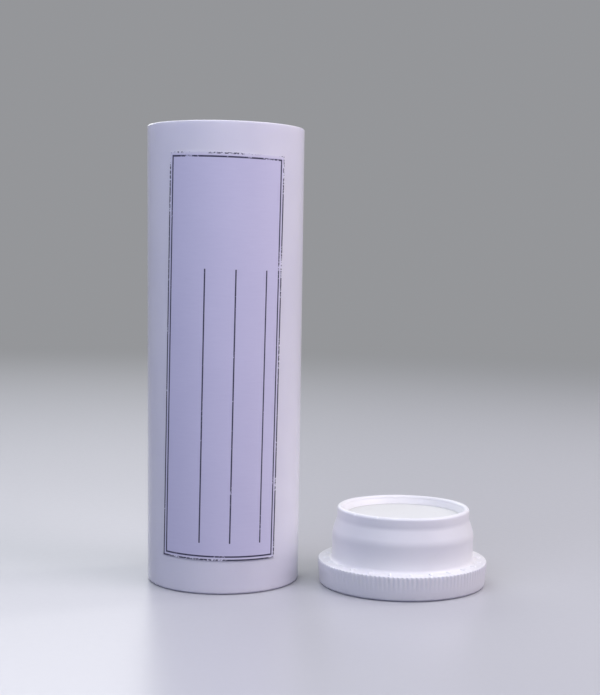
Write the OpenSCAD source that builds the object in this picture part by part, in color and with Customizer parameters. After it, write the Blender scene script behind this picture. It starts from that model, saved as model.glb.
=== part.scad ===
// Tube for effervescent tablets, open, with its desiccant stopper lying beside it.
// The tube stands on the Z axis with its label towards -Y. The stopper lies on its outer face, plug up.
// Millimetres, +Z up.

/* [Tube] */
// Height of the tube from the surface it stands on to its rim
tube_h = 79; // [40:0.5:160]
// Bore at the mouth, where the stopper seals
bore_d = 25; // [15:0.1:40]
// Wall at the mouth
wall_t = 1; // [0.6:0.05:2]
// Narrowing of the outside from mouth to foot, on the radius
outer_draft = 0.1; // [0.02:0.01:0.5]
// Narrowing of the bore below its sealing length, on the radius
bore_draft = 0.1; // [0.02:0.01:0.5]
// Length of straight bore below the lead-in
seal_len = 14; // [12:0.5:30]
// Thickness of the floor
floor_t = 1.2; // [0.8:0.1:3]
// Rounding inside, between floor and wall
floor_round = 1; // [0.3:0.1:3]
// Depth of the recess under the floor
recess_h = 0.6; // [0.2:0.1:2]
// Width of the ring that the tube stands on
foot_w = 2; // [1.2:0.1:4]
// Rounding of the foot's outer edge
foot_round = 0.45; // [0.1:0.05:1]
// Chamfer that leads the stopper into the bore
lead_in = 0.4; // [0.1:0.05:0.5]
// Rounding of the mouth's outer edge
mouth_round = 0.2; // [0.05:0.05:0.3]
// Diameter of the moulding gate's mark under the floor
gate_d = 2.6; // [1:0.1:6]
// Height of the gate's mark
gate_h = 0.25; // [0.05:0.05:0.5]

/* [Stopper] */
// Overall height of the stopper
stopper_h = 13.7; // [12:0.1:20]
// Height of the grip flange
flange_h = 4.3; // [3:0.1:6]
// Reach of the flange past the outside of the tube
flange_over = 1.5; // [0.5:0.1:4]
// Rounding of the flange's outer edge
flange_round = 0.5; // [0.1:0.05:0.8]
// Draft of the flange, narrower at its outer face, on the radius
flange_draft = 0.25; // [0.1:0.05:0.6]
// Rounding of the flange's edge on the plug's side
seat_round = 0.25; // [0.05:0.05:0.5]
// Depth of the shallow panel in the outer face
panel_h = 0.3; // [0.1:0.05:0.8]
// Width of the ring round the panel, which the stopper lies on
panel_rim = 2.75; // [1.5:0.05:5]
// Thickness of the outer face over the chamber
face_t = 1.3; // [0.8:0.1:2.5]
// Looseness of the plug in the bore, on the radius
plug_clear = 0.18; // [0.02:0.01:0.3]
// Squeeze of the sealing ring in the bore, on the radius
seal_squeeze = 0.05; // [0.02:0.01:0.2]
// Drop of the sealing ring below the top of the rim
seal_drop = 4.7; // [4.6:0.1:7]
// Rounding of the sealing ring
seal_round = 2.5; // [1.5:0.1:3.5]
// Inset of the crimped rim from the bore, on the radius
rim_inset = 0.8; // [0.4:0.05:1.5]
// Height of the straight crimped rim
rim_h = 2.3; // [1.5:0.1:2.4]
// Rounding of the neck between the crimped rim and the lead to the sealing ring
neck_round = 1.2; // [0.2:0.1:3]
// Thickness of the crimped rim at its round top
rim_t = 1; // [0.8:0.05:1.4]

/* [Grip] */
// Number of grip grooves round the flange
groove_n = 120; // [40:2:160]
// Depth of a groove at the flange's inner edge
groove_depth = 0.18; // [0.05:0.01:0.3]
// Radius of a groove's round bottom
groove_r = 0.3; // [0.2:0.01:0.4]
// Number of vent ribs that the tube's rim lands on
rib_n = 24; // [8:1:60]
// Length of a vent rib, centred on the outside of the tube
rib_len = 1.1; // [0.6:0.1:2]
// Width of a vent rib
rib_w = 0.5; // [0.2:0.05:1]
// Height of a vent rib
rib_h = 0.2; // [0.05:0.01:0.4]

/* [Card and desiccant] */
// Depth of the card below the rim
card_depth = 1.6; // [1:0.1:2]
// Thickness of the card
card_t = 0.7; // [0.3:0.05:1.5]
// Wall of the crimped rim round the card
crimp_t = 0.6; // [0.4:0.05:0.8]
// Reach of the crimped lip over the card
lip_w = 0.9; // [0.2:0.05:1.2]
// Width of the ledge under the card
ledge_w = 0.4; // [0.2:0.05:1]
// Looseness of the card in its pocket
card_clear = 0.05; // [0.01:0.01:0.2]
// Diameter of a desiccant bead
bead_d = 2.96; // [1.5:0.02:4]
// Gap between desiccant beads
bead_gap = 0.04; // [0.02:0.01:0.2]

/* [Label] */
// Width of the label round the tube
label_w = 21; // [10:0.5:35]
// Bare tube below the label
label_foot = 5.9; // [2:0.1:20]
// Bare tube above the label
label_head = 5.1; // [2:0.1:20]
// Tilt of the label, clockwise from the front, in degrees
label_tilt = 0.9; // [-5:0.1:5]
// Thickness of the paper
paper_t = 0.1; // [0.05:0.01:0.3]
// Thickness of the glue
glue_t = 0.02; // [0.01:0.01:0.1]

/* [Layout] */
// Gap between the tube and the stopper beside it
stopper_gap = 3.5; // [1:0.1:60]
// Direction of the stopper from the tube, in degrees from +X
stopper_angle = -5.9; // [-180:0.1:180]

/* [Hidden] */
$fn = 96;
eps = 0.5;

bore_r = bore_d / 2;
outer_r = bore_r + wall_t;
foot_r = outer_r - outer_draft;
floor_z = recess_h + floor_t;
land_z = tube_h - lead_in - seal_len;
deep_r = bore_r - bore_draft;
rim_round = min(mouth_round, (wall_t - lead_in) / 2);

flange_r = outer_r + flange_over;
face_r = flange_r - flange_draft;
plug_r = bore_r - plug_clear;
seal_r = bore_r + seal_squeeze;
rim_r = bore_r - rim_inset;
lip_r = rim_r - rim_t;
pocket_r = rim_r - crimp_t;
chamber_r = pocket_r - ledge_w;
chamber_z = panel_h + face_t;
card_top = stopper_h - card_depth;
card_z = card_top - card_t;

// Sealing ring: a circle, and the lead that runs from it to the crimped rim along a tangent
seal_c = [seal_r - seal_round, stopper_h - seal_drop];
lead_end = [rim_r, stopper_h - rim_h];
lead_v = lead_end - seal_c;
lead_a = atan2(lead_v.y, lead_v.x) - acos(seal_round / norm(lead_v));
lead_start = seal_c + seal_round * [cos(lead_a), sin(lead_a)];

// Neck: a circle that touches the crimped rim and the lead
neck_c = lead_end + neck_round * [1, tan(lead_a / 2)];
neck_foot = neck_c - neck_round * [cos(lead_a), sin(lead_a)];

stopper_d = outer_r + stopper_gap + flange_r;

label_h = tube_h - label_foot - label_head;
label_z = label_foot + label_h / 2;

bead_pitch = bead_d + bead_gap;
bead_rise = bead_pitch * sqrt(2 / 3);
bead_reach = chamber_r - bead_gap - bead_d / 2;
bead_room = card_z - chamber_z - bead_d - 2 * bead_gap;

// What is cut away to round an outer corner that points to +X -Y
module round_off(r) {
    difference() {
        translate([-r, -eps]) square([r + eps, r + eps]);
        translate([-r, r]) circle(r);
        translate([-r - eps, r]) square([r + eps, eps]);
    }
}

// What is added to round an inner corner between a wall on the left and a face below
module round_in(r) {
    difference() {
        translate([-eps, -eps]) square(r + eps);
        translate([r, r]) circle(r);
    }
}

module tube_section() {
    difference() {
        polygon([[0, 0], [foot_r, 0], [foot_r, foot_round], [outer_r, tube_h], [0, tube_h]]);
        translate([foot_r, 0]) round_off(foot_round);
        translate([outer_r, tube_h]) mirror([0, 1]) round_off(rim_round);
        translate([0, -eps]) square([foot_r - foot_w, recess_h + eps]);
        difference() {
            polygon([
                [0, floor_z], [deep_r, floor_z], [bore_r, land_z], [bore_r, tube_h - lead_in],
                [bore_r + lead_in, tube_h], [bore_r + lead_in, tube_h + eps], [0, tube_h + eps]
            ]);
            translate([deep_r, floor_z]) round_off(floor_round);
        }
    }
}

module tube() {
    color("white") {
        rotate_extrude() tube_section();
        translate([0, 0, recess_h - gate_h]) cylinder(h = gate_h + floor_t / 2, d = gate_d);
    }
}

// The paper follows the tube's taper, so it is a slice of a tapered skin
module label() {
    skin_h = tube_h - foot_round;
    chord = 2 * outer_r * sin(label_w / (2 * outer_r) * 180 / PI);
    color("ghostwhite") intersection() {
        translate([0, 0, foot_round]) difference() {
            cylinder(h = skin_h, r1 = foot_r + glue_t + paper_t, r2 = outer_r + glue_t + paper_t);
            cylinder(h = skin_h, r1 = foot_r + glue_t, r2 = outer_r + glue_t);
        }
        translate([0, 0, label_z]) rotate([0, label_tilt, 0])
            translate([-chord / 2, -outer_r - wall_t, -label_h / 2]) cube([chord, outer_r + wall_t, label_h]);
    }
}

// Places its children at the stopper beside the tube
module at_stopper() {
    translate(stopper_d * [cos(stopper_angle), sin(stopper_angle), 0]) children();
}

module flange_section() {
    difference() {
        polygon([[0, 0], [face_r, 0], [face_r, flange_round], [flange_r, flange_h], [0, flange_h]]);
        translate([face_r, 0]) round_off(flange_round);
        translate([flange_r, flange_h]) mirror([0, 1]) round_off(seat_round);
        translate([0, -eps]) square([face_r - panel_rim, panel_h + eps]);
    }
}

module plug_section() {
    translate([0, chamber_z]) square([plug_r, seal_c.y - chamber_z]);
    translate([plug_r, flange_h]) round_in(lead_in + plug_clear);
    translate(seal_c) circle(seal_round);
    polygon([[0, seal_c.y], seal_c, lead_start, lead_end, [0, lead_end.y]]);
    translate([0, lead_end.y]) square([rim_r, rim_h - rim_t / 2]);
    difference() {
        polygon([[0, lead_end.y], neck_foot, neck_c, [rim_r, neck_c.y]]);
        translate(neck_c) circle(neck_round);
    }
}

// Desiccant chamber, pocket of the card and mouth that narrows inside the crimped lip
module hollow_section() {
    translate([0, chamber_z]) square([chamber_r, card_top - chamber_z]);
    translate([0, card_z]) square([pocket_r, card_t + card_clear]);
    polygon([
        [0, card_top], [pocket_r - lip_w, card_top], [lip_r, stopper_h - rim_t / 2],
        [lip_r, stopper_h + eps], [0, stopper_h + eps]
    ]);
}

module cap_section() {
    difference() {
        union() {
            flange_section();
            plug_section();
        }
        hollow_section();
    }
    translate([rim_r - rim_t / 2, stopper_h - rim_t / 2]) circle(rim_t / 2);
}

// Straight along the axis: a groove runs out where the drafted side comes in past its bottom
module grooves() {
    for (i = [0 : groove_n - 1])
        rotate(i * 360 / groove_n)
            translate([flange_r - groove_depth + groove_r, 0, -eps]) cylinder(h = flange_h + 2 * eps, r = groove_r);
}

module vent_ribs() {
    for (i = [0 : rib_n - 1])
        rotate(i * 360 / rib_n)
            translate([outer_r - rib_len / 2, -rib_w / 2, flange_h - rib_h])
                cube([rib_len, rib_w, 2 * rib_h]);
}

module cap_shell() {
    color("white") at_stopper() {
        difference() {
            rotate_extrude() cap_section();
            grooves();
        }
        vent_ribs();
    }
}

module card_disc() {
    color("ivory") at_stopper()
        translate([0, 0, card_z]) cylinder(h = card_t, r = pocket_r - card_clear);
}

// Close-packed layers: each odd layer sits over the hollows of the one below it
module desiccant_beads() {
    rings = ceil(bead_reach / bead_pitch) + 1;
    color("lightsteelblue") at_stopper()
        for (k = [0 : floor(bead_room / bead_rise)], i = [-rings : rings], j = [-rings : rings]) {
            shift = (k % 2) / 3;
            p = bead_pitch * [i + j / 2 + shift * 1.5, (j + shift) * sqrt(3) / 2];
            if (norm(p) <= bead_reach)
                translate([p.x, p.y, chamber_z + bead_gap + bead_d / 2 + k * bead_rise]) sphere(d = bead_d);
        }
}

tube();
label();
cap_shell();
card_disc();
desiccant_beads();
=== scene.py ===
"""Dresses a tablet tube and the desiccant stopper beside it, and sets them in a plain studio.

Sizes are in millimetres. A mesh is turned to metres when its piece is finished.
"""

import logging
import math
from dataclasses import dataclass
from enum import Enum
from typing import Any, Optional, Sequence, Union

import bmesh
import bpy
from mathutils import Matrix, Vector, noise


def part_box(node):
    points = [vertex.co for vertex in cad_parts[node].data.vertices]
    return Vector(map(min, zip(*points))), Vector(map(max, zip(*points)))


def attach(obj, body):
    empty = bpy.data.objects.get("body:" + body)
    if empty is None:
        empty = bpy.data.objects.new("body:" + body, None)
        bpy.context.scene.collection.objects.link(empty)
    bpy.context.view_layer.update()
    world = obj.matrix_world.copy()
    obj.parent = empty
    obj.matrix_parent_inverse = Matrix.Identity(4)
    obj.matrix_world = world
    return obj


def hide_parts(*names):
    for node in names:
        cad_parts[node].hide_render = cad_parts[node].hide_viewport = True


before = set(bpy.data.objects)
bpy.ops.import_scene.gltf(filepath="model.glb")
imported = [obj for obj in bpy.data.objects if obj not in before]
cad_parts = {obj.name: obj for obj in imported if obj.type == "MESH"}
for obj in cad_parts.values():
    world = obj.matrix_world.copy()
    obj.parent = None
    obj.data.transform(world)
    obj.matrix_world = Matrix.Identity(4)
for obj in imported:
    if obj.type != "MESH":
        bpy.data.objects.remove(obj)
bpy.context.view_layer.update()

MM = 0.001
# A hair's breadth, in millimetres or as a share of a radius.
WELD = 1e-5
# Equal parts of a turn: the first is spun, and the rest are its copies.
SECTORS = 16
SHARP_ANGLE = math.radians(40)
PHOTO_SIZE = (600, 695)
SENSOR = 36.0

Pair = tuple[float, float]
Triple = tuple[float, float, float]
Colour = Triple
log = logging.getLogger("tablet_tube")


class Body(Enum):
    """The bodies that move apart."""

    TUBE = "tube"
    CAP = "cap"


class Slot(Enum):
    """The record's material slots of the pieces that are made here."""

    TUBE = "tube_plastic"
    LABEL = "label_paper"
    CAP = "cap_plastic"
    CARD = "card"


class Value:
    """A shader socket in an expression: each operator on it adds a Math node."""

    def __init__(self, shading: "Shading", socket: bpy.types.NodeSocket) -> None:
        """Wraps an output socket of a node tree."""
        self.shading = shading
        self.socket = socket

    def math(self, operation: str, *terms: "Term") -> "Value":
        """Adds a Math node over the given terms."""
        return self.shading.node("ShaderNodeMath", {"operation": operation}, dict(enumerate(terms)))

    def __add__(self, other: "Term") -> "Value":
        """Gives self + other."""
        return self.math("ADD", self, other)

    def __radd__(self, other: "Term") -> "Value":
        """Gives other + self."""
        return self.math("ADD", other, self)

    def __sub__(self, other: "Term") -> "Value":
        """Gives self - other."""
        return self.math("SUBTRACT", self, other)

    def __rsub__(self, other: "Term") -> "Value":
        """Gives other - self."""
        return self.math("SUBTRACT", other, self)

    def __mul__(self, other: "Term") -> "Value":
        """Gives self * other."""
        return self.math("MULTIPLY", self, other)

    def __rmul__(self, other: "Term") -> "Value":
        """Gives other * self."""
        return self.math("MULTIPLY", other, self)

    def __truediv__(self, other: "Term") -> "Value":
        """Gives self / other."""
        return self.math("DIVIDE", self, other)

    def __rtruediv__(self, other: "Term") -> "Value":
        """Gives other / self."""
        return self.math("DIVIDE", other, self)

    def __abs__(self) -> "Value":
        """Gives the size of self without its sign."""
        return self.math("ABSOLUTE", self)

    def root(self) -> "Value":
        """Gives the square root of self."""
        return self.math("SQRT", self)

    def least(self, other: "Term") -> "Value":
        """Gives the smaller of self and other."""
        return self.math("MINIMUM", self, other)

    def most(self, other: "Term") -> "Value":
        """Gives the larger of self and other."""
        return self.math("MAXIMUM", self, other)

    def rise(self, low: float, high: float) -> "Value":
        """Gives a smooth step from 0 at low to 1 at high."""
        return self.shading.node(
            "ShaderNodeMapRange", {"interpolation_type": "SMOOTHSTEP"}, {0: self, 1: low, 2: high}
        )

    def fall(self, low: float, high: float) -> "Value":
        """Gives a smooth step from 1 at low to 0 at high."""
        return 1 - self.rise(low, high)

    def swing(self) -> "Value":
        """Gives a noise's distance from its middle."""
        return self - 0.5

    def band(self, middle: float, half: float, soft: float) -> "Value":
        """Gives 1 within half of the middle, with soft edges, and 0 elsewhere."""
        return abs(self - middle).fall(half - soft, half + soft)


Term = Union[Value, float]


class Shading:
    """A material or world whose node tree is written as expressions."""

    COLOUR_MIX = {"factor": 0, "a": 6, "b": 7, "out": 2}

    def __init__(self, tree: bpy.types.NodeTree) -> None:
        """Starts an empty node tree."""
        self.tree = tree
        tree.nodes.clear()

    def node(
        self,
        kind: str,
        settings: Optional[dict[str, Any]] = None,
        sockets: Optional[dict[Union[int, str], Any]] = None,
        out: Union[int, str] = 0,
    ) -> Value:
        """Makes a node, sets it up and feeds it.

        Args:
            kind: The node's type.
            settings: The node's own settings, which are set first.
            sockets: Values or links of the inputs, by name or number.
            out: The output that is wanted.

        Returns:
            The wanted output.
        """
        made = self.tree.nodes.new(kind)
        for key, value in (settings or {}).items():
            setattr(made, key, value)
        for key, value in (sockets or {}).items():
            if isinstance(value, Value):
                self.tree.links.new(value.socket, made.inputs[key])
            else:
                made.inputs[key].default_value = value
        return Value(self, made.outputs[out])

    def place(self, centre: Vector, turn: Triple = (0, 0, 0), stretch: Triple = (1, 1, 1)) -> Value:
        """Gives the piece's own coordinates in millimetres.

        Args:
            centre: The point that becomes zero, in millimetres.
            turn: Turn of the pattern about X, Y and Z, in radians.
            stretch: Scale of the pattern along X, Y and Z after the turn.

        Returns:
            The coordinates as a vector.
        """
        found = self.node("ShaderNodeTexCoord", out="Object")
        scaled = self.node("ShaderNodeMapping", sockets={0: found, 1: -centre, 2: turn, 3: (1 / MM,) * 3})
        return self.node("ShaderNodeVectorMath", {"operation": "MULTIPLY"}, {0: scaled, 1: stretch})

    def split(self, vector: Value) -> tuple[Value, Value, Value]:
        """Gives a vector's three parts."""
        parts = self.node("ShaderNodeSeparateXYZ", sockets={0: vector}).socket.node.outputs
        return tuple(Value(self, part) for part in parts)

    def noise(self, vector: Value, per_mm: float, detail: float = 2.0, roughness: float = 0.5) -> Value:
        """Gives a soft noise from 0 to 1 with so many bumps a millimetre."""
        return self.node(
            "ShaderNodeTexNoise",
            sockets={"Vector": vector, "Scale": per_mm, "Detail": detail, "Roughness": roughness},
        )

    def blend(self, mask: Term, a: Any, b: Any) -> Value:
        """Gives colour a where the mask is 0 and colour b where it is 1."""
        ports = self.COLOUR_MIX
        return self.node(
            "ShaderNodeMix",
            {"data_type": "RGBA"},
            {ports["factor"]: mask, ports["a"]: rgba(a), ports["b"]: rgba(b)},
            ports["out"],
        )

    def bump(self, height: Value) -> Value:
        """Gives the normal of a surface raised by a height in millimetres."""
        return self.node("ShaderNodeBump", sockets={"Strength": 1.0, "Distance": MM, "Height": height})

    def principled(self, sockets: dict[str, Any]) -> Value:
        """Gives a Principled shader that has these sockets."""
        return self.node("ShaderNodeBsdfPrincipled", sockets=sockets)

    def surface(self, shader: Value, kind: str = "ShaderNodeOutputMaterial") -> None:
        """Ends the tree with an output node."""
        end = self.tree.nodes.new(kind)
        self.tree.links.new(shader.socket, end.inputs["Surface"])


def rgba(colour: Any) -> Any:
    """Gives a plain colour its alpha, and passes a link on."""
    return colour if isinstance(colour, Value) else (*colour, 1.0)


def new_material(name: str) -> tuple[bpy.types.Material, Shading]:
    """Starts a material.

    Args:
        name: The material's name.

    Returns:
        The material and its empty node tree.
    """
    material = bpy.data.materials.new(name)
    material.use_nodes = True
    return material, Shading(material.node_tree)


@dataclass(frozen=True)
class Scuffs:
    """Sparse hairline scratches that run about one way, in patches.

    The turn is in radians, per_mm counts the scratches across their run, and width is a share of the noise's
    range. The higher bare is, the more of the surface stays free of them.
    """

    turn: Triple
    per_mm: float
    width: float
    bare: float
    run: float = 0.06
    patch: Triple = (0.25, 0.25, 0.12)
    patch_soft: float = 0.12

    def mask(self, s: Shading, centre: Vector) -> Value:
        """Draws the scratches.

        Args:
            s: The node tree.
            centre: The pattern's centre, in millimetres.

        Returns:
            A mask, 1 on a scratch.
        """
        along = s.place(centre, self.turn, (self.per_mm, self.per_mm, self.per_mm * self.run))
        line = abs(s.noise(along, 1.0, detail=1.0).swing()).fall(0.0, self.width)
        patches = s.noise(s.place(centre, self.turn, self.patch), 1.0)
        return line * patches.rise(self.bare, self.bare + self.patch_soft)


@dataclass(frozen=True)
class MouldedPlastic:
    """White moulded plastic with flow lines, hairline scuffs and a little grime at its foot.

    Depths are in millimetres. A span is the part of a noise over which a mark sets in, a tint is how much of
    the grime's colour it takes, and rough is what it adds to the roughness.
    """

    name: str
    colour: Colour
    shade: Colour
    roughness: float
    flow_depth: float
    ring_depth: float
    grain_depth: float
    subsurface: float
    scatter: float
    scatter_reach: Triple = (1.0, 1.0, 1.1)
    cloud_per_mm: float = 0.11
    cloud_span: Pair = (0.3, 0.75)
    cloud_rough: float = 0.1
    flow_stretch: Triple = (1.3, 1.3, 0.025)
    flow_rough: float = 0.06
    rings_per_mm: float = 3.1
    grain_per_mm: float = 3.4
    scuffs: tuple[Scuffs, Scuffs] = (
        Scuffs((0.5, 0.2, 0.3), per_mm=1.7, width=0.016, bare=0.56),
        Scuffs((1.2, -0.4, 1.9), per_mm=1.3, width=0.013, bare=0.6),
    )
    scuff_depth: float = 0.001
    scuff_tint: float = 0.08
    scuff_rough: float = 0.06
    grime_top: float = 1.4
    grime_per_mm: float = 0.9
    grime_span: Pair = (0.42, 0.75)
    grime_colour: Colour = (0.5, 0.5, 0.54)
    grime_tint: float = 0.2
    grime_rough: float = 0.2

    def material(self, centre: Vector) -> bpy.types.Material:
        """Makes the material.

        Args:
            centre: The middle of the piece's foot, in millimetres.

        Returns:
            The material.
        """
        material, s = new_material(self.name)
        place = s.place(centre)
        x, y, z = s.split(place)
        reach = (x * x + y * y).root()
        cloud = s.noise(place, self.cloud_per_mm, detail=3.0)
        flow = s.noise(s.place(centre, stretch=self.flow_stretch), 1.0, detail=3.0, roughness=0.6)
        rings = s.node(
            "ShaderNodeTexNoise",
            {"noise_dimensions": "1D"},
            {"W": reach, "Scale": self.rings_per_mm, "Detail": 2.0},
        )
        grain = s.noise(place, self.grain_per_mm, roughness=0.6)
        one, other = (scuffs.mask(s, centre) for scuffs in self.scuffs)
        scuffed = one.most(other)
        dirt = s.noise(place, self.grime_per_mm, detail=3.0)
        grime = z.fall(0.0, self.grime_top) * dirt.rise(*self.grime_span)
        body = s.blend(cloud.rise(*self.cloud_span), self.colour, self.shade)
        marked = s.blend(scuffed * self.scuff_tint + grime * self.grime_tint, body, self.grime_colour)
        height = flow * self.flow_depth + rings * self.ring_depth + grain * self.grain_depth
        roughness = self.roughness + cloud.swing() * self.cloud_rough + flow.swing() * self.flow_rough
        s.surface(s.principled({
            "Base Color": marked,
            "Roughness": roughness + scuffed * self.scuff_rough + grime * self.grime_rough,
            "Normal": s.bump(height - scuffed * self.scuff_depth),
            "Subsurface Weight": self.subsurface,
            "Subsurface Radius": self.scatter_reach,
            "Subsurface Scale": self.scatter * MM,
        }))
        return material


@dataclass(frozen=True)
class Toner:
    """How printed toner breaks up.

    It wears more between two heights, given as shares of the label's height above its middle. Cover is the
    part of the noise over which it sets in.
    """

    wear_from: float
    wear_to: float
    wear: float
    cover: Pair

    def mask(self, grit: Value, v: Value, height: float) -> Value:
        """Breaks the toner up.

        Args:
            grit: The noise that breaks it up.
            v: Height above the label's middle, in millimetres.
            height: Height of the label, in millimetres.

        Returns:
            A mask, 1 where the toner holds.
        """
        worn = v.rise(self.wear_from * height, self.wear_to * height) * self.wear
        return (grit - worn).rise(*self.cover)


@dataclass(frozen=True)
class LabelPaper:
    """Matte paper with a printed double frame and three ruled lines, in toner that breaks up.

    The frame's lines are measured from the paper's edge and the rules from its middle, in millimetres.
    """

    name: str = "label_paper"
    colour: Colour = (0.72, 0.7, 0.86)
    shade: Colour = (0.63, 0.61, 0.78)
    margin: Colour = (0.77, 0.755, 0.85)
    edge_colour: Colour = (0.85, 0.85, 0.88)
    edge: Pair = (0.02, 0.08)
    roughness: float = 0.72
    specular: float = 0.35
    fibre_stretch: Triple = (0.35, 2.3, 1.0)
    fibre_depth: float = 0.012
    fibre_rough: float = 0.12
    cloud_per_mm: float = 0.09
    cloud_depth: float = 0.05
    ink: Colour = (0.018, 0.016, 0.05)
    ink_cover: float = 0.96
    ink_depth: float = 0.004
    ink_gloss: float = 0.25
    coarse_per_mm: float = 0.22
    coarse_share: float = 0.55
    fine_per_mm: float = 2.6
    fine_share: float = 0.45
    outer_toner: Toner = Toner(0.3, 0.5, wear=0.12, cover=(0.37, 0.45))
    inner_toner: Toner = Toner(0.1, 0.4, wear=0.03, cover=(0.33, 0.42))
    outer_line: float = 0.17
    inner_line: float = 0.74
    line_half: float = 0.135
    soft: float = 0.03
    rules: Triple = (-3.3, 1.9, 7.3)
    rule_half: float = 0.12
    rule_from: float = -31.0
    rule_to: float = 15.0

    def material(self, width: float, height: float) -> bpy.types.Material:
        """Makes the material.

        Args:
            width: Width of the label, in millimetres.
            height: Height of the label, in millimetres.

        Returns:
            The material.
        """
        material, s = new_material(self.name)
        flat = s.node("ShaderNodeUVMap", {"uv_map": PaperLabel.UV_NAME})
        corner = (-width / 2, -height / 2, 0)
        on_paper = s.node("ShaderNodeMapping", sockets={0: flat, 1: corner, 3: (width, height, 1)})
        u, v, _ = s.split(on_paper)
        inset = (width / 2 - abs(u)).least(height / 2 - abs(v))
        coarse = s.noise(on_paper, self.coarse_per_mm)
        fine = s.noise(on_paper, self.fine_per_mm, roughness=0.6)
        grit = coarse * self.coarse_share + fine * self.fine_share
        worn = self.outer_toner.mask(grit, v, height)
        solid = self.inner_toner.mask(grit, v, height)
        ink = (inset.band(self.outer_line, self.line_half, self.soft) * worn).most(
            inset.band(self.inner_line, self.line_half, self.soft) * solid
        )
        along = v.rise(self.rule_from - self.soft, self.rule_from + self.soft) * v.fall(
            self.rule_to - self.soft, self.rule_to + self.soft
        )
        for place in self.rules:
            ink = ink.most(u.band(place, self.rule_half, self.soft) * along * solid)
        laid = s.node("ShaderNodeVectorMath", {"operation": "MULTIPLY"}, {0: on_paper, 1: self.fibre_stretch})
        fibre = s.noise(laid, 1.0, detail=4.0, roughness=0.65)
        cloud = s.noise(on_paper, self.cloud_per_mm)
        paper = s.blend((fibre + cloud) / 2, self.colour, self.shade)
        framed = s.blend(inset.fall(self.outer_line, self.inner_line), paper, self.margin)
        cut = s.blend(inset.fall(*self.edge), framed, self.edge_colour)
        height_map = fibre * self.fibre_depth + cloud * self.cloud_depth + ink * self.ink_depth
        s.surface(s.principled({
            "Base Color": s.blend(ink * self.ink_cover, cut, self.ink),
            "Roughness": self.roughness + fibre.swing() * self.fibre_rough - ink * self.ink_gloss,
            "Normal": s.bump(height_map),
            "Specular IOR Level": self.specular,
        }))
        return material


@dataclass(frozen=True)
class FibreCard:
    """Pressed white card with loose fibres, which lie two ways, and a few darker flecks."""

    name: str = "pressed_card"
    colour: Colour = (0.715, 0.725, 0.70)
    shade: Colour = (0.655, 0.665, 0.64)
    roughness: float = 0.85
    specular: float = 0.3
    fibre_turns: Pair = (0.6, 2.3)
    fibre_stretch: Triple = (0.7, 3.2, 1.0)
    fibre_share: float = 0.6
    fibre_depth: float = 0.02
    fibre_rough: float = 0.2
    cloud_per_mm: float = 0.25
    cloud_share: float = 0.4
    cloud_depth: float = 0.03
    flecks_per_mm: float = 2.2
    fleck_span: Pair = (0.76, 0.8)
    fleck_cover: float = 0.3
    fleck: Colour = (0.62, 0.60, 0.55)

    def material(self, centre: Vector) -> bpy.types.Material:
        """Makes the material.

        Args:
            centre: The middle of the card's foot, in millimetres.

        Returns:
            The material.
        """
        material, s = new_material(self.name)
        place = s.place(centre)
        lays = [s.place(centre, (0, 0, turn), self.fibre_stretch) for turn in self.fibre_turns]
        one, other = (s.noise(lay, 1.0, detail=3.0, roughness=0.7) for lay in lays)
        fibres = one.most(other)
        cloud = s.noise(place, self.cloud_per_mm, detail=3.0)
        flecks = s.noise(place, self.flecks_per_mm, detail=0.0).rise(*self.fleck_span)
        body = s.blend(cloud * self.cloud_share + fibres * self.fibre_share, self.colour, self.shade)
        s.surface(s.principled({
            "Base Color": s.blend(flecks * self.fleck_cover, body, self.fleck),
            "Roughness": self.roughness + fibres.swing() * self.fibre_rough,
            "Normal": s.bump(fibres * self.fibre_depth + cloud * self.cloud_depth),
            "Specular IOR Level": self.specular,
        }))
        return material


@dataclass(frozen=True)
class SilicaGel:
    """Milky porous beads, a few of them clearer than the rest."""

    name: str = "silica_beads"
    colour: Colour = (0.78, 0.82, 0.86)
    clear: Colour = (0.58, 0.66, 0.74)
    roughness: float = 0.32
    bead: float = 3.0
    lots_per_bead: float = 0.8
    lot_span: Pair = (0.45, 0.65)
    lot_share: float = 0.7
    pores_per_mm: float = 6.0
    pore_share: float = 0.3
    pore_depth: float = 0.015
    pore_rough: float = 0.2
    subsurface: float = 0.25
    scatter: float = 0.8

    def material(self, centre: Vector) -> bpy.types.Material:
        """Makes the material.

        Args:
            centre: The middle of the chamber's foot, in millimetres.

        Returns:
            The material.
        """
        material, s = new_material(self.name)
        place = s.place(centre)
        lot = s.noise(place, self.lots_per_bead / self.bead, detail=0.0)
        pores = s.noise(place, self.pores_per_mm, detail=3.0)
        clearer = lot.rise(*self.lot_span) * self.lot_share + pores * self.pore_share
        s.surface(s.principled({
            "Base Color": s.blend(clearer, self.colour, self.clear),
            "Roughness": self.roughness + pores.swing() * self.pore_rough,
            "Normal": s.bump(pores * self.pore_depth),
            "Subsurface Weight": self.subsurface,
            "Subsurface Scale": self.scatter * MM,
        }))
        return material


@dataclass(frozen=True)
class Corner:
    """A corner of a turned profile: its radius and height, and the radius that rounds it."""

    r: float
    z: float
    round: float = 0.0


def arc(middle: Corner, start: float, end: float, steps: int) -> list[Corner]:
    """Gives corners along an arc of a profile.

    Args:
        middle: The arc's centre, with its radius as the rounding.
        start: First angle from the radius, in radians.
        end: Last angle.
        steps: Number of straight pieces.

    Returns:
        The corners, both ends among them.
    """
    angles = (start + (end - start) * k / steps for k in range(steps + 1))
    return [
        Corner(middle.r + middle.round * math.cos(angle), middle.z + middle.round * math.sin(angle))
        for angle in angles
    ]


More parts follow.
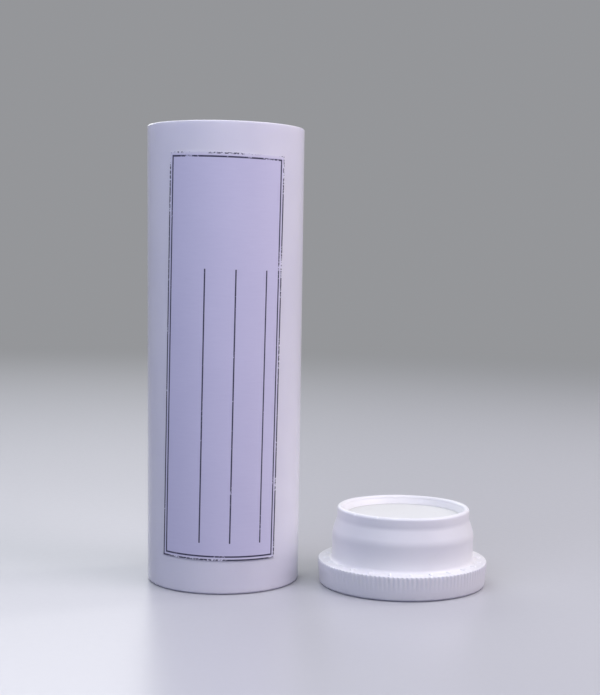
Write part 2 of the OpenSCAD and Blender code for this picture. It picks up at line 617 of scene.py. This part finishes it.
def turned(corners: Sequence[Corner], steps: int, segments: int = 4) -> bmesh.types.BMesh:
    """Turns a profile into a mesh round Z: one sector is spun, and its copies close the turn.

    Args:
        corners: The profile, in millimetres.
        steps: Steps of the full turn, a multiple of the sectors.
        segments: Straight pieces in each rounded corner.

    Returns:
        The mesh, which is closed where the profile starts and ends on the axis.
    """
    bm = bmesh.new()
    verts = [bm.verts.new((corner.r, 0.0, corner.z)) for corner in corners]
    for pair in zip(verts, verts[1:]):
        bm.edges.new(pair)
    for vert, corner in zip(verts, corners):
        if corner.round:
            one, other = (edge.other_vert(vert).co - vert.co for edge in vert.link_edges)
            bmesh.ops.bevel(
                bm, geom=[vert], offset=corner.round / math.tan(one.angle(other) / 2), offset_type="OFFSET",
                affect="VERTICES", segments=segments, profile=0.5, material=-1,
            )
    sector = math.tau / SECTORS
    for angle, count, copies in ((sector, steps // SECTORS, False), (math.tau - sector, SECTORS - 1, True)):
        bmesh.ops.spin(
            bm, geom=bm.verts[:] + bm.edges[:] + bm.faces[:], cent=(0, 0, 0), axis=(0, 0, 1),
            angle=angle, steps=count, use_duplicate=copies,
        )
    bmesh.ops.remove_doubles(bm, verts=bm.verts, dist=WELD * max(corner.r for corner in corners))
    bmesh.ops.recalc_face_normals(bm, faces=bm.faces)
    return bm


def new_object(name: str, bm: bmesh.types.BMesh, material: bpy.types.Material) -> bpy.types.Object:
    """Makes a smooth object of a mesh and puts it in the scene.

    Args:
        name: The object's name.
        bm: The mesh in its place, in millimetres, which is used up.
        material: The object's finish.

    Returns:
        The object.
    """
    bmesh.ops.scale(bm, vec=(MM,) * 3, verts=bm.verts)
    for face in bm.faces:
        face.smooth = True
    mesh = bpy.data.meshes.new(name)
    bm.to_mesh(mesh)
    bm.free()
    mesh.materials.append(material)
    made = bpy.data.objects.new(name, mesh)
    bpy.context.scene.collection.objects.link(made)
    return made


def finish_piece(
    name: str, bm: bmesh.types.BMesh, material: bpy.types.Material, body: Body, node: str
) -> bpy.types.Object:
    """Makes a dressed object of a mesh and joins it to its body.

    Args:
        name: The piece's name.
        bm: The mesh in its place, in millimetres, which is used up.
        material: The piece's finish.
        body: The body that the piece rides on.
        node: The solid that the piece stands for.

    Returns:
        The object.
    """
    piece = new_object(name, bm, material)
    piece.data.set_sharp_from_angle(angle=SHARP_ANGLE)
    piece.modifiers.new("even_normals", "WEIGHTED_NORMAL").keep_sharp = True
    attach(piece, body.value)
    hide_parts(node)
    log.info("%s: %d faces on %s", name, len(piece.data.polygons), body.value)
    return piece


@dataclass
class Tube:
    """The tube: a drafted shell with a thick foot ring, open at the mouth."""

    mouth_r: float
    height: float
    wall: float = 1.0
    outer_draft: float = 0.1
    bore_draft: float = 0.1
    lead_in: float = 0.4
    seal_length: float = 14.0
    floor: float = 1.2
    floor_round: float = 1.0
    recess: float = 0.6
    foot_width: float = 2.0
    foot_round: float = 0.45
    gate_r: float = 1.3
    gate_height: float = 0.25
    edge: float = 0.1
    mouth_round: float = 0.2
    steps: int = 256
    corner_steps: int = 6

    @classmethod
    def from_frame(cls) -> "Tube":
        """Takes the tube's reach and height from its solid."""
        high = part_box("tube")[1] / MM
        return cls(mouth_r=high.x, height=high.z)

    def radius_at(self, z: float) -> float:
        """Gives the outside radius at a height."""
        return self.mouth_r - self.outer_draft * (1 - z / self.height)

    def profile(self) -> list[Corner]:
        """Works out the section of the shell.

        Returns:
            Its corners, from the middle of the foot, up the outside and down the bore.
        """
        bore = self.mouth_r - self.wall
        foot = self.radius_at(0)
        top = self.recess + self.floor
        return [
            Corner(0, self.recess - self.gate_height),
            Corner(self.gate_r, self.recess - self.gate_height, self.edge),
            Corner(self.gate_r, self.recess, self.edge),
            Corner(foot - self.foot_width, self.recess, 2 * self.edge),
            Corner(foot - self.foot_width, 0, 2 * self.edge),
            Corner(foot, 0, self.foot_round),
            Corner(self.mouth_r, self.height, self.mouth_round),
            Corner(bore + self.lead_in, self.height, self.edge),
            Corner(bore, self.height - self.lead_in, 2 * self.edge),
            Corner(bore, self.height - self.lead_in - self.seal_length),
            Corner(bore - self.bore_draft, top, self.floor_round),
            Corner(0, top),
        ]

    def build(self) -> None:
        """Makes the dressed tube."""
        finish = MouldedPlastic(
            "tube_plastic", (0.82, 0.81, 0.865), (0.79, 0.78, 0.84), roughness=0.2,
            flow_depth=0.006, ring_depth=0.0, grain_depth=0.0012, subsurface=0.45, scatter=1.0,
        )
        finish_piece(
            "tube_moulding", turned(self.profile(), self.steps, self.corner_steps), finish.material(Vector()),
            Body.TUBE, "tube",
        )


@dataclass
class PaperLabel:
    """The paper label, wrapped round the tube a little askew."""

    UV_NAME = "paper"

    tube: Tube
    width: float = 21.0
    foot: float = 5.9
    head: float = 5.1
    tilt: float = math.radians(0.9)
    paper: float = 0.1
    glue: float = 0.02
    columns: int = 56
    rows: int = 40

    @property
    def height(self) -> float:
        """Gives the label's height."""
        return self.tube.height - self.foot - self.head

    def wrap(self, across: float, up: float) -> Vector:
        """Puts a point of the flat label on the tube.

        Args:
            across: Distance from the label's middle, along the paper.
            up: Distance above the label's middle.

        Returns:
            The point on the paper's outer side.
        """
        chord = self.tube.mouth_r * math.sin(across / self.tube.mouth_r)
        x = chord * math.cos(self.tilt) + up * math.sin(self.tilt)
        z = self.foot + self.height / 2 - chord * math.sin(self.tilt) + up * math.cos(self.tilt)
        reach = self.tube.radius_at(z) + self.glue + self.paper
        return Vector((x, -math.sqrt(reach * reach - x * x), z))

    def build(self) -> None:
        """Makes the dressed label."""
        bm = bmesh.new()
        bm.loops.layers.uv.new(self.UV_NAME)
        bmesh.ops.create_grid(bm, x_segments=self.columns, y_segments=self.rows, size=0.5, calc_uvs=True)
        for vert in bm.verts:
            vert.co = self.wrap(vert.co.x * self.width, vert.co.y * self.height)
        bm.normal_update()
        bmesh.ops.solidify(bm, geom=bm.faces[:], thickness=self.paper)
        finish_piece(
            "paper_label", bm, LabelPaper().material(self.width, self.height), Body.TUBE, "label"
        )


@dataclass(frozen=True)
class Nick:
    """A small tear in the crimped lip: its angle and width in degrees, and its depth."""

    angle: float
    width: float
    depth: float

    def drop(self, angle: float) -> float:
        """Works out how deep the tear is at one place.

        Args:
            angle: Angle round the axis, in radians.

        Returns:
            The depth there.
        """
        aside = abs(math.remainder(angle - math.radians(self.angle), math.tau))
        share = aside / math.radians(self.width / 2)
        return self.depth * max(0.0, 1 - share * share)


@dataclass(frozen=True)
class Ripple:
    """An uneven wave round the lip: its share, and the circle and the level on which its noise is read."""

    share: float
    circle: float
    level: float

    def rise(self, angle: float) -> float:
        """Gives the wave at an angle round the axis."""
        spot = Vector((self.circle * math.cos(angle), self.circle * math.sin(angle), self.level))
        return self.share * noise.noise(spot)


@dataclass
class Stopper:
    """The stopper: a grooved flange and a hollow plug, closed by a card under a crimped lip."""

    axis: Vector
    flange_r: float
    height: float
    bore: float
    flange_over: float = 1.5
    flange_h: float = 4.3
    flange_round: float = 0.5
    flange_draft: float = 0.25
    edge: float = 0.12
    seat_round: float = 0.25
    panel_h: float = 0.3
    panel_rim: float = 2.75
    face: float = 1.3
    seal_squeeze: float = 0.05
    plug_draft: float = 0.05
    seal_drop: float = 5.2
    seal_round: float = 4.2
    seal_steps: int = 8
    rim_inset: float = 0.8
    rim_h: float = 2.0
    rim_t: float = 1.0
    card_depth: float = 1.6
    card_t: float = 0.7
    crimp: float = 0.6
    lip_w: float = 0.9
    lip_side: float = 0.6
    ledge_w: float = 0.4
    card_clear: float = 0.05
    fillet: float = 0.4
    plug_foot: float = 0.58
    neck_round: float = 2.0
    groove_n: int = 120
    groove_depth: float = 0.18
    groove_r: float = 0.3
    groove_rows: int = 6
    rib_n: int = 24
    rib_length: float = 1.1
    rib_w: float = 0.5
    rib_h: float = 0.19
    rib_soft: float = 0.1
    rib_off: float = 1.0
    rib_rows: int = 8
    lip_wave: float = 0.05
    ripples: tuple[Ripple, Ripple] = (Ripple(0.7, 3, 0.5), Ripple(0.3, 11, 4.2))
    nicks: tuple[Nick, ...] = (Nick(-142, 2.5, 0.12), Nick(-118, 2.0, 0.1), Nick(-14, 4.0, 0.5))
    steps_per_groove: int = 8
    card_steps: int = 192

    @classmethod
    def from_frame(cls, tube: Tube) -> "Stopper":
        """Takes the stopper's place and height from its solid, and its reach from the tube.

        Args:
            tube: The tube that it closes.

        Returns:
            The stopper.
        """
        low, high = (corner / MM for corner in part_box("cap_shell"))
        middle = (low + high) / 2
        return cls(
            axis=Vector((middle.x, middle.y, 0)), flange_r=tube.mouth_r + cls.flange_over, height=high.z,
            bore=tube.mouth_r - tube.wall,
        )

    @property
    def face_r(self) -> float:
        """Gives the radius of the flange at its outer face."""
        return self.flange_r - self.flange_draft

    @property
    def crest_r(self) -> float:
        """Gives the radius of the sealing ring's crest."""
        return self.bore + self.seal_squeeze

    @property
    def rim_r(self) -> float:
        """Gives the outside radius of the crimped rim."""
        return self.bore - self.rim_inset

    @property
    def lip_r(self) -> float:
        """Gives the inside radius of the crimped lip."""
        return self.rim_r - self.rim_t

    @property
    def card_z(self) -> float:
        """Gives the height of the ledge that the card lies on."""
        return self.height - self.card_depth - self.card_t

    def seal(self) -> list[Corner]:
        """Works out the sealing ring's section.

        Returns:
            An arc from the ring's crest to the straight lead that meets the rim.
        """
        ring = Corner(self.crest_r - self.seal_round, self.height - self.seal_drop, self.seal_round)
        across, up = self.rim_r - ring.r, self.height - self.rim_h - ring.z
        end = math.atan2(up, across) - math.acos(ring.round / math.hypot(across, up))
        return arc(ring, 0, end, self.seal_steps)

    def profile(self) -> list[Corner]:
        """Works out the section of the moulding.

        Returns:
            Its corners, from the middle of the outer face, up the outside and down into the chamber.
        """
        plug = self.crest_r - self.plug_draft
        pocket = self.rim_r - self.crimp
        chamber = pocket - self.ledge_w
        face = self.panel_h + self.face
        card_top = self.height - self.card_depth
        side_h = self.flange_h - self.flange_round
        cuts = [self.groove_depth * (1 - k / self.groove_rows) for k in range(self.groove_rows)]
        sides = [
            Corner(self.flange_r - cut, self.flange_h - side_h * cut / self.flange_draft) for cut in cuts
        ]
        rib_end = self.bore + self.rib_off + self.rib_length / 2
        seat = [rib_end - k * self.rib_length / self.rib_rows for k in range(self.rib_rows)]
        return [
            Corner(0, self.panel_h),
            Corner(self.face_r - self.panel_rim, self.panel_h, self.edge),
            Corner(self.face_r - self.panel_rim, 0, self.edge),
            Corner(self.face_r, 0, self.flange_round - WELD),
            Corner(self.face_r, self.flange_round),
            *sides,
            Corner(self.flange_r, self.flange_h, self.seat_round),
            *(Corner(r, self.flange_h) for r in seat),
            Corner(plug, self.flange_h, self.plug_foot),
            *self.seal(),
            Corner(self.rim_r, self.height - self.rim_h, self.neck_round),
            Corner(self.rim_r, self.height, self.rim_t / 2 - WELD),
            Corner(self.lip_r, self.height, self.rim_t / 2 - WELD),
            Corner(self.lip_r, self.height - self.lip_side, self.edge),
            Corner(pocket - self.lip_w, card_top, self.card_clear),
            Corner(pocket, card_top + self.card_clear),
            Corner(pocket, self.card_z),
            Corner(chamber, self.card_z),
            Corner(chamber, face, self.fillet),
            Corner(0, face),
        ]

    def groove_limit(self, angle: float) -> float:
        """Gives the radius that the grooves leave, which the drafted side comes in past at their run-out.

        Args:
            angle: Angle round the axis, in radians.

        Returns:
            The radius of the grooved surface.
        """
        pitch = math.tau / self.groove_n
        aside = self.flange_r * (angle - round(angle / pitch) * pitch)
        if abs(aside) >= self.groove_r:
            return self.flange_r
        middle = self.flange_r - self.groove_depth + self.groove_r
        return middle - math.sqrt(self.groove_r ** 2 - aside * aside)

    def rib_lift(self, angle: float, r: float) -> float:
        """Gives the height of a vent rib above the seat.

        Args:
            angle: Angle round the axis, in radians.
            r: Radius.

        Returns:
            The height.
        """
        pitch = math.tau / self.rib_n
        aside = abs(r * (angle - round(angle / pitch) * pitch)) - self.rib_w / 2
        past = abs(r - self.bore - self.rib_off) - self.rib_length / 2
        share = max(0.0, min(1.0, -max(aside, past) / self.rib_soft))
        return self.rib_h * share * share * (3 - 2 * share)

    def lip_lift(self, angle: float) -> float:
        """Works out how far the crimped lip lies from its true height.

        Args:
            angle: Angle round the axis, in radians.

        Returns:
            The distance, which is below zero all round.
        """
        drop = self.lip_wave * sum((ripple.rise(angle) for ripple in self.ripples), 1.0)
        for nick in self.nicks:
            drop += nick.drop(angle)
        return -drop

    def shape(self, bm: bmesh.types.BMesh) -> None:
        """Cuts the grooves, raises the vent ribs and wears the lip.

        Args:
            bm: The turned stopper, on its own axis.
        """
        for vert in bm.verts:
            r = math.hypot(vert.co.x, vert.co.y)
            angle = math.atan2(vert.co.y, vert.co.x)
            if r > self.flange_r - self.groove_depth:
                vert.co.xy *= min(1.0, self.groove_limit(angle) / r)
            elif abs(vert.co.z - self.flange_h) < WELD * self.flange_r:
                vert.co.z += self.rib_lift(angle, r)
            elif vert.co.z > self.height - self.rim_t / 2:
                share = (vert.co.z - self.height + self.rim_t / 2) / (self.rim_t / 2)
                vert.co.z += share * self.lip_lift(angle)

    def card(self) -> bmesh.types.BMesh:
        """Makes the card on the stopper's own axis.

        Returns:
            The mesh.
        """
        r = self.rim_r - self.crimp - self.card_clear
        top = self.height - self.card_depth
        return turned([
            Corner(0, self.card_z),
            Corner(r, self.card_z, self.edge),
            Corner(r, top, self.edge),
            Corner(0, top),
        ], self.card_steps)

    def build(self) -> None:
        """Makes the dressed stopper and its card."""
        plastic = MouldedPlastic(
            "stopper_plastic", (0.84, 0.84, 0.845), (0.81, 0.81, 0.82), roughness=0.42,
            flow_depth=0.0, ring_depth=0.006, grain_depth=0.003, subsurface=0.4, scatter=0.4,
        )
        shell = turned(self.profile(), self.groove_n * self.steps_per_groove)
        self.shape(shell)
        card = self.card()
        for mesh in (shell, card):
            bmesh.ops.translate(mesh, vec=self.axis, verts=mesh.verts)
        finish_piece("stopper_moulding", shell, plastic.material(self.axis), Body.CAP, "cap_shell")
        finish_piece("card_insert", card, FibreCard().material(self.axis), Body.CAP, "card_disc")

    def dress_beads(self) -> None:
        """Gives the desiccant beads their finish."""
        finish = SilicaGel().material(self.axis)
        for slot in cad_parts["desiccant_beads"].material_slots:
            slot.material = finish
        log.info("desiccant_beads: solids kept and dressed")


@dataclass(frozen=True)
class Lamp:
    """A soft box that looks at the object, and that glossy things mirror or don't."""

    name: str
    place: Triple
    size: Pair
    watts: float
    colour: Colour = (1.0, 1.0, 1.0)
    mirrored: bool = True

    def build(self, aim: Vector) -> None:
        """Makes the lamp.

        Args:
            aim: The point that it looks at, in millimetres.
        """
        light = bpy.data.lights.new(self.name, "AREA")
        light.shape = "RECTANGLE"
        light.size, light.size_y = (side * MM for side in self.size)
        light.energy = self.watts
        light.color = self.colour
        lamp = bpy.data.objects.new(self.name, light)
        lamp.location = Vector(self.place) * MM
        lamp.rotation_euler = (aim - Vector(self.place)).to_track_quat("-Z", "Y").to_euler()
        lamp.visible_camera = False
        lamp.visible_glossy = self.mirrored
        bpy.context.scene.collection.objects.link(lamp)


@dataclass
class Studio:
    """A pale round sweep, soft boxes and a faint sky.

    The floor has one colour where it is seen and another in the light that it throws on the pieces. From near
    to far it turns into an even backdrop.
    """

    floor_r: float = 700.0
    sweep_r: float = 400.0
    wall_top: float = 900.0
    steps: int = 96
    sweep_steps: int = 24
    near: float = 140.0
    far: float = 640.0
    seen: Colour = (0.53, 0.535, 0.55)
    bounced: Colour = (0.04, 0.045, 0.12)
    backdrop: Colour = (0.30, 0.305, 0.32)
    roughness: float = 0.26
    specular: float = 0.4
    tooth_per_mm: float = 0.8
    tooth_rough: float = 0.1
    ambient: Colour = (0.83, 0.87, 1.0)
    ambient_strength: float = 0.6
    aim: Vector = Vector((12, 0, 30))
    lamps: tuple[Lamp, ...] = (
        Lamp("top_box", (40, -80, 560), (500, 420), 0.32, (0.97, 1.0, 0.92)),
        Lamp("right_box", (385, -190, 320), (300, 340), 1.36, (0.99, 0.88, 0.98)),
        Lamp("edge_strip", (430, 150, 310), (70, 400), 0.6, (1.0, 0.95, 0.92), mirrored=False),
        Lamp("left_fill", (-260, -250, 320), (340, 340), 0.88, (0.76, 0.8, 1.0)),
        Lamp("front_fill", (50, -430, 270), (420, 300), 0.52, (0.89, 0.88, 1.0)),
        Lamp("back_fill", (-200, 490, 340), (420, 360), 1.25, (0.98, 0.99, 1.0)),
    )

    def sweep(self) -> None:
        """Makes the floor that curves up into a wall all round."""
        material, s = new_material("studio_sweep")
        rays = ("Is Camera Ray", "Is Glossy Ray", "Is Transmission Ray")
        camera, glossy, through = (s.node("ShaderNodeLightPath", out=ray) for ray in rays)
        place = s.place(Vector())
        x, y, _ = s.split(place)
        tooth = s.noise(place, self.tooth_per_mm, detail=3.0)
        shown = (camera + glossy + through).least(1.0)
        lit = s.principled({
            "Base Color": s.blend(shown, self.bounced, self.seen),
            "Roughness": self.roughness + tooth * self.tooth_rough,
            "Specular IOR Level": self.specular,
        })
        wall = s.node("ShaderNodeEmission", sockets={"Color": rgba(self.backdrop), "Strength": 1.0})
        away = shown * (x * x + y * y).root().rise(self.near, self.far)
        s.surface(s.node("ShaderNodeMixShader", sockets={0: away, 1: lit, 2: wall}))
        corners = [
            Corner(0, 0),
            Corner(self.floor_r + self.sweep_r, 0, self.sweep_r),
            Corner(self.floor_r + self.sweep_r, self.wall_top),
        ]
        bm = turned(corners, self.steps, self.sweep_steps)
        bmesh.ops.reverse_faces(bm, faces=bm.faces)
        new_object("studio_sweep", bm, material)

    def light(self) -> None:
        """Lights the sweep with soft boxes and a faint sky."""
        for lamp in self.lamps:
            lamp.build(self.aim)
        world = bpy.data.worlds.new("studio_sky")
        world.use_nodes = True
        bpy.context.scene.world = world
        s = Shading(world.node_tree)
        sky = s.node(
            "ShaderNodeBackground", sockets={"Color": rgba(self.ambient), "Strength": self.ambient_strength}
        )
        s.surface(sky, "ShaderNodeOutputWorld")
        bpy.context.scene.view_settings.view_transform = "Standard"


@dataclass
class Viewpoint:
    """The camera, fitted to the outlines of both pieces and the label's frame in the photograph."""

    place: Vector = Vector((6.5, -229.42, 56.33))
    yaw: float = math.radians(3.494)
    pitch: float = math.radians(6.706)
    roll: float = math.radians(-1.01)
    focal_px: float = 1300.0
    centre_px: Pair = (40.0, 68.0)
    clip: float = 10.0

    def build(self) -> None:
        """Makes the camera and looks through it."""
        flat = math.cos(self.pitch)
        forward = Vector((math.sin(self.yaw) * flat, math.cos(self.yaw) * flat, -math.sin(self.pitch)))
        level = Vector((math.cos(self.yaw), -math.sin(self.yaw), 0))
        down = forward.cross(level)
        right = math.cos(self.roll) * level + math.sin(self.roll) * down
        up = math.sin(self.roll) * level - math.cos(self.roll) * down
        long_side = max(PHOTO_SIZE)
        lens = bpy.data.cameras.new("camera")
        lens.sensor_width = SENSOR
        lens.lens = self.focal_px / long_side * SENSOR
        lens.shift_x = -self.centre_px[0] / long_side
        lens.shift_y = self.centre_px[1] / long_side
        lens.clip_start = self.clip * MM
        camera = bpy.data.objects.new("camera", lens)
        turn = Matrix((right, up, -forward)).transposed().to_4x4()
        camera.matrix_world = Matrix.Translation(self.place * MM) @ turn
        bpy.context.scene.collection.objects.link(camera)
        bpy.context.scene.camera = camera


def main() -> None:
    """Builds the camera, the pieces and the studio in order."""
    logging.basicConfig(level=logging.INFO, format="%(message)s")
    Viewpoint().build()
    tube = Tube.from_frame()
    tube.build()
    PaperLabel(tube).build()
    stopper = Stopper.from_frame(tube)
    stopper.build()
    stopper.dress_beads()
    studio = Studio()
    studio.sweep()
    studio.light()


if __name__ == "__main__":
    main()
